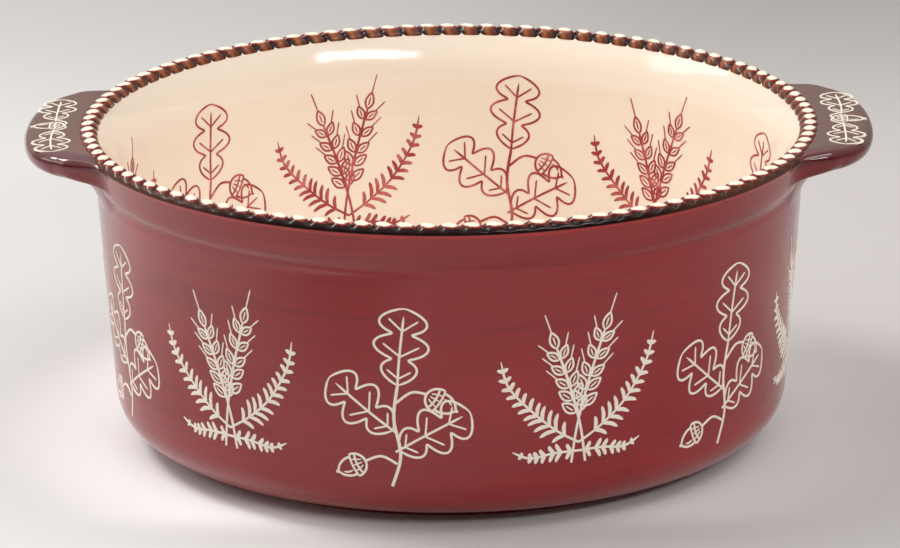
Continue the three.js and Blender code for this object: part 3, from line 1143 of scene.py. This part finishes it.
def add_room(context, studio):
    """The room's light: darker low down and in front, and brighter at the left."""
    world = bpy.data.worlds.new("Room")
    world.use_nodes = True
    tree = world.node_tree
    background = tree.nodes["Background"]
    background.inputs["Color"].default_value = (1.0, 0.985, 0.965, 1.0)
    _, aside, away, height = coordinates(tree, "Generated")
    low = remap(tree, away, -0.55, -0.05, studio.front_room, studio.low_room)
    upward = remap(tree, height, 0.12, 0.7)
    gain = math_node(tree, "SUBTRACT", studio.room, low)
    rising = math_node(tree, "MULTIPLY_ADD", gain, upward, low)
    sideways = remap(tree, aside, -0.35, 0.35, 1.15, 0.8)
    tree.links.new(product(tree, rising, sideways), background.inputs["Strength"])
    context.scene.world = world


def add_camera(context, studio):
    """The camera at the photograph's angle, with a long lens. The film's width is in millimetres."""
    film_width = 36.0
    rim = Vector((0.0, 0.0, ROPE_HIGH.z))
    location = rim + away_from_dish(studio.azimuth, studio.elevation) * studio.distance
    data = bpy.data.cameras.new("camera")
    data.lens = studio.lens
    data.sensor_width = film_width
    camera = add_looking("camera", data, location, Vector((0.0, 0.0, studio.aim_height)) - location)
    camera.rotation_quaternion @= Quaternion((0.0, 0.0, 1.0), studio.roll)
    context.scene.camera = camera
    context.scene.view_settings.view_transform = "Standard"


class BAKER_OT_bowl(bpy.types.Operator):
    """Make the bowl, red outside and cream inside"""

    bl_idname = "baker.bowl"
    bl_label = "Bowl"

    def execute(self, context):
        bowl = context.scene.baker_bowl
        colours = context.scene.baker_colours
        outside = outer_profile(bowl)
        inside = inner_profile(bowl)
        into_rope, out_of_rope = lip_rounds(bowl, outside[-1], inside[-1])
        base_middle = Vector((0.0, bowl.base_height))
        floor_middle = Vector((0.0, bowl.base_height + bowl.floor))
        base = straight(base_middle, outside[0], BASE_STEPS)
        floor = straight(inside[0], floor_middle, BASE_STEPS)
        red = [base_middle, *base, *outside, *into_rope[1:]]
        cream = [*out_of_rope, *inside[-2::-1], *floor, floor_middle]
        vertices, faces, parts = revolve(red + cream, TURN_STEPS)
        piece = add_piece(
            "glazed_bowl", vertices, faces, (red_material(colours, bowl), cream_material(colours)),
            [0 if part < len(red) else 1 for part in parts])
        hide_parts("bowl")
        return {"FINISHED"}


def rope_point(rope, turn, section, sunken):
    """A point of the rope. sunken is 0 on a bead's crown and 1 in a groove's middle."""
    from_seat = min(section, math.pi - section)
    fade = ease(from_seat, *GROOVE_FADE)
    foot_groove = rope.inner_groove if section > math.pi / 2 else rope.side_groove
    groove = foot_groove + (rope.groove - foot_groove) * fade
    radius = rope.radius - groove * sunken
    across = rope.ring_radius + radius * math.cos(section)
    shift = rope.radius * math.tan(rope.lay) / rope.ring_radius
    around = turn - shift * (section - math.pi / 2)
    height = rope.crest - rope.radius + radius * math.sin(section)
    return Vector((across * math.cos(around), across * math.sin(around), height))


def rope_marks(rope, place, section, sunken):
    """Marks of the rope's glaze. place is from -0.5 to 0.5 over a bead, 0 on its crown."""
    over = abs(section - (math.pi / 2 - rope.wipe_lean)) / rope.wipe_reach
    beside = abs(place) / rope.wipe_width
    streak = max(0.0, 1.0 - abs(place - rope.rust_place) / RUST_HALF)
    return {
        "wiped": 1.0 - (over**2.0 + beside**2.0) ** 0.5,
        "deep": max(sunken, 1.0 - ease(section, *OUTER_GLAZE)),
        "rusty": ease(section, *INNER_RUST) * streak,
    }


class BAKER_OT_rope(bpy.types.Operator):
    """Make the twisted-rope rim with its wiped beads"""

    bl_idname = "baker.rope"
    bl_label = "Rope rim"

    def execute(self, context):
        rope = context.scene.baker_rope
        rings = []
        marks = {"wiped": [], "deep": [], "rusty": []}
        for ring in range(rope.beads * BEAD_STEPS):
            place = (ring % BEAD_STEPS) / BEAD_STEPS
            place -= round(place)
            turn = 2.0 * math.pi * ring / (rope.beads * BEAD_STEPS)
            points = []
            for step in range(SECTION_STEPS + 1):
                section = ROPE_START + ROPE_REACH * step / SECTION_STEPS
                sunken = (2.0 * abs(place)) ** rope.crown
                points.append(rope_point(rope, turn, section, sunken))
                for mark, value in rope_marks(rope, place, section, sunken).items():
                    marks[mark].append(value)
            rings.append(points)
        material = rope_material(context.scene.baker_colours)
        piece = add_loft("twisted_rope_rim", rings, True, material, marks, 75.0)
        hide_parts("rope_rim")
        return {"FINISHED"}


class BAKER_OT_foot(bpy.types.Operator):
    """Make the foot ring"""

    bl_idname = "baker.foot"
    bl_label = "Foot ring"

    def execute(self, context):
        foot = context.scene.baker_foot
        bowl = context.scene.baker_bowl
        hidden = 0.4 * MM
        top = bowl.base_height + hidden
        face = foot.outer_radius - foot.cove
        inner = face - foot.width
        cove = ((face, 0.5 * foot.height), (face, foot.height), (foot.outer_radius, foot.height))
        profile = [
            *arc((inner + foot.edge, foot.edge), foot.edge, -math.pi, -math.pi / 2, ROUND_STEPS),
            *arc((face - foot.edge, foot.edge), foot.edge, -math.pi / 2, 0.0, ROUND_STEPS),
            *bezier(cove, COVE_STEPS),
            *(Vector(point) for point in ((foot.outer_radius, top), (inner, top), (inner, foot.edge))),
        ]
        vertices, faces, _ = revolve(profile, TURN_STEPS)
        material = foot_material(context.scene.baker_colours, bowl)
        piece = add_piece("glazed_foot_ring", vertices, faces, (material,))
        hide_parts("foot_ring")
        return {"FINISHED"}


def rope_edge(rope):
    """Outer radius of the rope."""
    return rope.ring_radius + rope.radius


def standing_out(reach, rope, handle):
    """How far a handle's edge stands out: 0 at the rope and 1 at the tip."""
    return max(0.0, (reach - rope_edge(rope)) / (handle.tip - rope_edge(rope)))


def handle_edge(handle, rope):
    """Plan of one handle's edge for +X, as (turn, reach) from one root round to the other."""
    root_out = 0.3
    root_in = 0.42
    shoulder_bend = 0.39
    tip_round = 0.72
    tip_flat = 0.48
    root_y = handle.root_width / 2
    root_x = math.sqrt(rope_edge(rope)**2 - root_y**2)
    shoulder = Vector((handle.tip - handle.shoulder_inset, handle.shoulder_width / 2))
    sweep = Vector((shoulder.x - root_x, root_y - shoulder.y))
    bend = shoulder_bend * sweep.y
    side = bezier(
        ((root_x, root_y), (root_x + root_out * sweep.x, root_y - root_in * sweep.y),
         (shoulder.x - root_out * sweep.x, shoulder.y + bend), shoulder), EDGE_STEPS)
    front = bezier(
        (shoulder, (shoulder.x + tip_round * handle.shoulder_inset, shoulder.y - bend),
         (handle.tip, tip_flat * shoulder.y), (handle.tip, 0.0)), EDGE_STEPS)
    half = [(math.atan2(point.y, point.x), point.length) for point in side + front[1:]]
    return half + [(-turn, reach) for turn, reach in half[-2::-1]]


def face_radius(bowl, sweep, height):
    """Radius of the bowl's outer face at a height; above the lip it lies hidden in the rope."""
    if height <= sweep[0].y:
        return wall_radius(bowl, height)
    if height >= sweep[-1].y:
        hidden = 0.3 * MM
        lean = 1.2
        return sweep[-1].x - hidden - lean * (height - sweep[-1].y)
    return profile_point(sweep, height)[0].x


def handle_outline(reach, bowl, rope, handle):
    """The full outline of a handle where its edge stands at a reach, from wall to rope.

    Returns the points of the underside, the heel, the crown and the top.
    """
    full_swell = 0.6
    steepness = 0.42
    flatness = 0.34
    shelf_bend = 0.75
    bulge = Vector((0.0, 0.5 * MM))
    tucked = 1.9 * MM
    dip = 1.0 * MM
    stand_out = standing_out(reach, rope, handle)
    swell = ease(stand_out, 0.0, full_swell)
    top = rope.crest - handle.top_drop - handle.root_fall * (1.0 - swell)
    edge_top = top - handle.fall * stand_out**2
    edge = edge_top - handle.crown_rise
    under = edge_top - handle.thickness - handle.root_gain * (1.0 - stand_out)**2
    heel = Vector((reach - handle.heel_depth, edge))
    leaving = ease(stand_out, 0.0, handle.root_blend)
    low_z = cove_point(bowl).y + handle.root_start * (1.0 - leaving) - handle.root_drop * leaving
    low = Vector((wall_radius(bowl, low_z), low_z))
    steep = low + Vector((math.tan(bowl.draft), 1.0)) * steepness * (under - low_z)
    flat = Vector((low.x + flatness * (heel.x - low.x), under))
    underside = bezier((low, steep, flat, (heel.x, under)), UNDERSIDE_STEPS)
    heel_sweep = oval((0.0, 0.0), handle.heel_depth, edge - under, -math.pi / 2, 0.0, HEEL_STEPS)
    heel_round = [heel + point for point in heel_sweep]
    crown_middle = (reach - handle.crown_depth, edge)
    crown_round = oval(crown_middle, handle.crown_depth, handle.crown_rise, 0.0, math.pi / 2, CROWN_STEPS)
    inner = Vector((rope_edge(rope) - tucked, top - dip))
    bend = crown_round[-1].lerp(inner, shelf_bend) + bulge
    shelf = bezier((crown_round[-1], bend, inner), SHELF_STEPS)
    return underside, heel_round[1:], crown_round[1:], shelf[1:]


def blended_max(first, second, blend):
    """The larger of two lengths, rounded where they are within a blend of one another."""
    near = max(blend - abs(first - second), 0.0)
    return max(first, second) + near * near / (4.0 * max(blend, 1e-9))


def handle_section(reach, bowl, rope, handle):
    """One upright section of a handle as (radius, height, crown side) points.

    Towards the roots the outline passes over into the bowl's own face. The crown side is the
    way along the section from its outermost point, in millimetres, upward.
    """
    joint = 0.06 * MM
    on_top = 5.0
    underneath = -20.0
    parts = handle_outline(reach, bowl, rope, handle)
    outline = [point for part in parts for point in part]
    keep = ease(standing_out(reach, rope, handle), 0.0, handle.root_blend)
    lengths = [0.0]
    for before, after in zip(outline, outline[1:]):
        lengths.append(lengths[-1] + (after - before).length / MM)
    crown_start = len(parts[0]) + len(parts[1]) - 1
    crown_end = crown_start + len(parts[2])
    sweep = collar(bowl, 0.0)
    section = []
    for index, point in enumerate(outline):
        face = face_radius(bowl, sweep, point.y)
        fillet = handle.fillet * ease(index, 0.5 * len(parts[0]), len(parts[0]))
        standing = point.x if index > crown_end else blended_max(face, point.x, fillet)
        radius = face + keep * (standing - face) - joint
        section.append((radius, point.y, lengths[index] - lengths[crown_start]))
    middle = Vector((rope.ring_radius, rope.crest - rope.radius))
    section.append((middle.x, middle.y, on_top))
    section.append((outline[0].x - 0.5 * bowl.wall, outline[0].y, underneath))
    return section


def handle_top(reach, turn, bowl, rope, handle):
    """Height of a handle's top at a place in plan, for what is drawn on it."""
    edge = handle_edge(handle, rope)
    outer = min(edge, key=lambda place: abs(place[0] - turn))[1]
    parts = handle_outline(outer, bowl, rope, handle)
    top = [parts[2][-1], *parts[3]]
    for outward, inward in zip(top, top[1:]):
        if inward.x <= reach:
            part = (outward.x - reach) / max(outward.x - inward.x, 1e-9)
            return outward.lerp(inward, max(0.0, min(1.0, part))).y
    return top[-1].y


class BAKER_OT_handles(bpy.types.Operator):
    """Make the two lug handles"""

    bl_idname = "baker.handles"
    bl_label = "Handles"

    def execute(self, context):
        bowl = context.scene.baker_bowl
        rope = context.scene.baker_rope
        handle = context.scene.baker_handle
        material = handle_material(context.scene.baker_colours)
        over_edge = 0.6
        for name, node_name, facing in (
            ("glazed_handle_right", "handle_right", 1.0), ("glazed_handle_left", "handle_left", -1.0),
        ):
            rings = []
            marks = {"crown_side": [], "brown_side": []}
            for turn, reach in handle_edge(handle, rope):
                ring = []
                for radius, height, side in handle_section(reach, bowl, rope, handle):
                    along = radius * math.cos(turn)
                    aside = facing * radius * math.sin(turn)
                    ring.append(Vector((facing * along, aside, height)))
                    border = handle.brown_half + handle.brown_spread * (handle.tip - along)
                    marks["crown_side"].append(side)
                    marks["brown_side"].append(min(side + over_edge, (border + aside) / MM))
                rings.append(ring)
            piece = add_loft(name, rings, False, material, marks, 60.0)
            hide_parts(node_name)
        return {"FINISHED"}


def add_wall_sprigs(context, name, profile, foot, turn, sign, material):
    """A ring of sprigs, oak and wheat by turns, on one face of the wall."""
    sizes = context.scene.baker_ornament
    drawings = (oak_sprig(), wheat_sprig())
    vertices = []
    faces = []
    for sprig in range(sizes.sprigs):
        lift = sizes.stagger if sprig % 2 else 0.0
        around = turn + 2.0 * math.pi * sprig / sizes.sprigs
        place = wall_place(profile, around, foot + lift, sign)
        points, sides = ribbons(drawings[sprig % 2], place, sizes.line, sizes.relief, sizes.sink)
        first = len(vertices)
        faces.extend(tuple(first + index for index in side) for side in sides)
        vertices.extend(points)
    return add_piece(name, vertices, faces, (material,))


class BAKER_OT_wall_ornament(bpy.types.Operator):
    """Draw the cream sprigs round the outside"""

    bl_idname = "baker.wall_ornament"
    bl_label = "Ornament outside"

    def execute(self, context):
        sizes = context.scene.baker_ornament
        colours = context.scene.baker_colours
        profile = outer_profile(context.scene.baker_bowl)
        material = line_material("Cream line", colours.line_cream, colours.cream)
        add_wall_sprigs(
            context, "cream_sprigs_outside", profile, sizes.wall_foot, sizes.wall_turn, 1, material)
        return {"FINISHED"}


class BAKER_OT_inner_ornament(bpy.types.Operator):
    """Draw the red sprigs round the inside"""

    bl_idname = "baker.inner_ornament"
    bl_label = "Ornament inside"

    def execute(self, context):
        sizes = context.scene.baker_ornament
        colours = context.scene.baker_colours
        profile = inner_profile(context.scene.baker_bowl)
        material = line_material("Red line", colours.line_red, colours.pale_red)
        add_wall_sprigs(
            context, "red_sprigs_inside", profile, sizes.inner_foot, sizes.inner_turn, -1, material)
        return {"FINISHED"}


class BAKER_OT_handle_ornament(bpy.types.Operator):
    """Draw the cream sprays on the handle tops"""

    bl_idname = "baker.handle_ornament"
    bl_label = "Ornament on the handles"

    def execute(self, context):
        bowl = context.scene.baker_bowl
        rope = context.scene.baker_rope
        handle = context.scene.baker_handle
        sizes = context.scene.baker_ornament
        colours = context.scene.baker_colours
        material = line_material("Cream line on brown", colours.line_cream, colours.cream)
        outward = 0.2 * MM
        finer = 0.78
        middle = 0.5 * (rope_edge(rope) + handle.tip) + outward
        heights = {}

        def place(across, up):
            radius = middle + up * MM
            turn = across * MM / middle
            near = (round(radius, 5), round(turn, 4))
            if near not in heights:
                heights[near] = handle_top(radius, turn, bowl, rope, handle)
            point = Vector((radius * math.cos(turn), radius * math.sin(turn), heights[near]))
            return point, Vector((0.0, 0.0, 1.0))

        vertices, faces = ribbons(handle_spray(), place, finer * sizes.line, sizes.relief, sizes.sink)
        for name, facing in (("cream_spray_right", 1.0), ("cream_spray_left", -1.0)):
            turned = [Vector((facing * point.x, facing * point.y, point.z)) for point in vertices]
            add_piece(name, turned, faces, (material,))
        return {"FINISHED"}


class BAKER_PT_panel(bpy.types.Panel):
    """Lists the dish's pieces in the sidebar"""

    bl_idname = "BAKER_PT_panel"
    bl_label = "Handled baking dish"
    bl_space_type = "VIEW_3D"
    bl_region_type = "UI"
    bl_category = "Baking dish"

    def draw(self, context):
        for operator in OPERATORS:
            self.layout.operator(operator.bl_idname)
        for name in SETTINGS:
            box = self.layout.box()
            settings = getattr(context.scene, name)
            for setting in settings.__annotations__:
                box.prop(settings, setting)


SETTINGS = {
    "baker_bowl": BowlSizes,
    "baker_rope": RopeSizes,
    "baker_foot": FootSizes,
    "baker_handle": HandleSizes,
    "baker_ornament": OrnamentSizes,
    "baker_colours": GlazeColours,
    "baker_studio": StudioSettings,
}
OPERATORS = (
    BAKER_OT_studio,
    BAKER_OT_bowl,
    BAKER_OT_rope,
    BAKER_OT_foot,
    BAKER_OT_handles,
    BAKER_OT_wall_ornament,
    BAKER_OT_inner_ornament,
    BAKER_OT_handle_ornament,
)


def register():
    """Registers the settings, the operators and the panel."""
    for name, settings in SETTINGS.items():
        bpy.utils.register_class(settings)
        setattr(bpy.types.Scene, name, PointerProperty(type=settings))
    for made in (*OPERATORS, BAKER_PT_panel):
        bpy.utils.register_class(made)


def unregister():
    """Takes everything that register() added out again."""
    for made in (BAKER_PT_panel, *reversed(OPERATORS)):
        bpy.utils.unregister_class(made)
    for name, settings in reversed(SETTINGS.items()):
        delattr(bpy.types.Scene, name)
        bpy.utils.unregister_class(settings)


def main():
    register()
    for operator in OPERATORS:
        getattr(bpy.ops.baker, operator.bl_idname.split(".")[1])()


if __name__ == "__main__":
    main()
